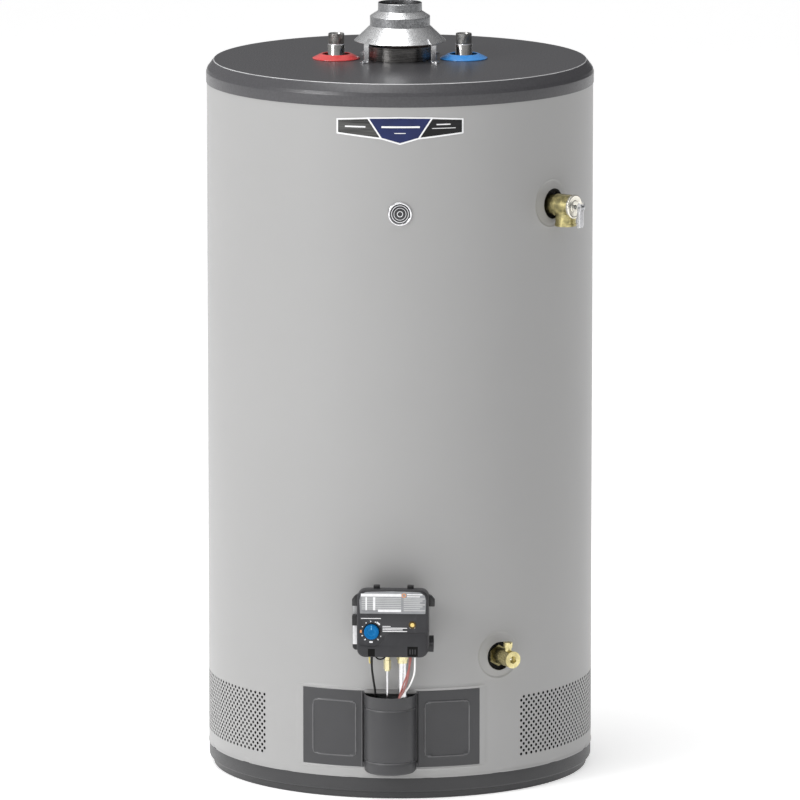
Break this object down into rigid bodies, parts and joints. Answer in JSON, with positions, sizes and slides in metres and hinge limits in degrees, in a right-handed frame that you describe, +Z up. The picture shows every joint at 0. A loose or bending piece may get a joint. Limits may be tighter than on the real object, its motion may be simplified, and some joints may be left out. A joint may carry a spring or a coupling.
{
  "type": "tank water heater",
  "caption": "Upright round gas storage water heater: grey steel jacket, dark lid and base pan, draft hood on top, side relief valve, gas control, drain valve and a clip-on burner access door.",
  "frame": {"origin": "on the floor, at the centre of the base pan's flat underside, on the tank's axis", "axes": "+Z up along the tank's axis; -Y towards the service side, with the gas control and the access door; +X to the right of a person who faces the service side"},
  "size_m": [0.6181, 0.7091, 1.2309],
  "materials": {
    "base_paint": "satin",
    "steel": "dull",
    "jacket_paint": "semi-gloss baked enamel",
    "lid_paint": "semi-gloss",
    "tank_steel": "enamelled",
    "flue_steel": "smooth",
    "baffle_steel": "heat-tinted",
    "foam": "cellular",
    "glass_wool": "fibrous",
    "arrestor_ceramic": "porous",
    "aluminium_tube": "drawn",
    "gasket": "woven",
    "screw_zinc": "zinc plated",
    "sight_glass": "clear",
    "black_plastic": "moulded",
    "valve_casting": "blackened casting",
    "cover_plastic": "fine texture",
    "panel_film": "printed film",
    "amber_lens": "lens",
    "brass": "machined",
    "black_wire": "insulation",
    "red_wire": "insulation",
    "white_wire": "insulation",
    "nipple_steel": "galvanised pipe",
    "white_plastic": "natural",
    "hot_plastic": "moulded",
    "cold_plastic": "moulded",
    "anode_metal": "cast",
    "cap_metal": "plated",
    "copper": "drawn",
    "lever_steel": "stamped",
    "chrome_ball": "polished",
    "galvanised": "spangled",
    "strip_film": "printed film",
    "badge_metal": "domed",
    "door_paint": "satin",
    "knob_plastic": "moulded"
  },
  "bodies": {
    "heater": {"base_pan": "base_paint", "support_legs": "steel", "jacket": "jacket_paint", "lid": "lid_paint", "inner_tank": "tank_steel", "flue_tube": "flue_steel", "flue_baffle": "baffle_steel", "foam_insulation": "foam", "chamber_blanket": "glass_wool", "chamber_skirt": "steel", "chamber_floor": "steel", "flame_arrestor": "arrestor_ceramic", "lint_screen": "steel", "burner": "steel", "manifold_tube": "aluminium_tube", "pilot_assembly": "steel", "pilot_tube": "aluminium_tube", "inner_door": "steel", "door_gasket": "gasket", "inner_door_screws": "screw_zinc", "sight_glass": "sight_glass", "thermal_switch": "black_plastic", "valve_body": "valve_casting", "valve_cover": "cover_plastic", "valve_panel": "panel_film", "left_connector": "black_plastic", "right_connector": "black_plastic", "status_light": "amber_lens", "thermostat_probe": "brass", "tube_nuts": "brass", "black_wire": "black_wire", "red_wire": "red_wire", "white_wire": "white_wire", "hot_nipple": "nipple_steel", "cold_nipple": "nipple_steel", "heat_trap_inserts": "white_plastic", "hot_escutcheon": "hot_plastic", "cold_escutcheon": "cold_plastic", "dip_tube": "white_plastic", "anode_rod": "anode_metal", "relief_body": "brass", "relief_cap": "cap_metal", "relief_spring": "steel", "drain_body": "brass", "draft_hood": "galvanised", "hood_legs": "galvanised", "hood_screws": "screw_zinc", "name_strip": "strip_film", "badge": "badge_metal"},
    "access_door": {"access_door": "door_paint"},
    "control_stem": {"control_stem": "steel"},
    "control_knob": {"control_knob": "knob_plastic"},
    "relief_stem": {"relief_stem": "steel", "relief_probe": "copper", "lever_pin": "steel"},
    "relief_lever": {"relief_lever": "lever_steel"},
    "drain_ball": {"drain_ball": "chrome_ball", "drain_stem": "brass"},
    "hot_trap_ball": {"hot_trap_ball": "hot_plastic"},
    "cold_trap_ball": {"cold_trap_ball": "cold_plastic"}
  },
  "joints": [
    {"name": "door_slide", "type": "slide", "parent": "heater", "child": "access_door", "axis": [0, -1, 0], "range_m": [0, 0.12]},
    {"name": "knob_press", "type": "slide", "parent": "heater", "child": "control_stem", "axis": [0, 1, 0], "range_m": [0, 0.003], "stiffness_N_per_m": 900, "springref_m": -0.004},
    {"name": "knob_turn", "type": "hinge", "parent": "control_stem", "child": "control_knob", "pos_m": [-0.0282, -0.392, 0.288], "axis": [0, -1, 0], "range_deg": [0, 270]},
    {"name": "relief_lift", "type": "slide", "parent": "heater", "child": "relief_stem", "axis": [0.8146, -0.58, 0], "range_m": [0, 0.0035], "stiffness_N_per_m": 2500, "springref_m": -0.004},
    {"name": "lever_turn", "type": "hinge", "parent": "relief_stem", "child": "relief_lever", "pos_m": [0.29367, -0.20909, 0.934], "axis": [-0.58, -0.8146, 0], "range_deg": [0, 90]},
    {"name": "drain_turn", "type": "hinge", "parent": "heater", "child": "drain_ball", "pos_m": [0.18223, -0.27584, 0.223], "axis": [0, 0, 1], "range_deg": [0, 90]},
    {"name": "hot_ball_rise", "type": "slide", "parent": "heater", "child": "hot_trap_ball", "axis": [0, 0, 1], "range_m": [0, 0.006]},
    {"name": "cold_ball_rise", "type": "slide", "parent": "heater", "child": "cold_trap_ball", "axis": [0, 0, 1], "range_m": [0, 0.006]}
  ],
  "couplings": [
    {"joint": "lever_turn", "follows": "relief_lift", "rad_per_m": 448.79}
  ]
}
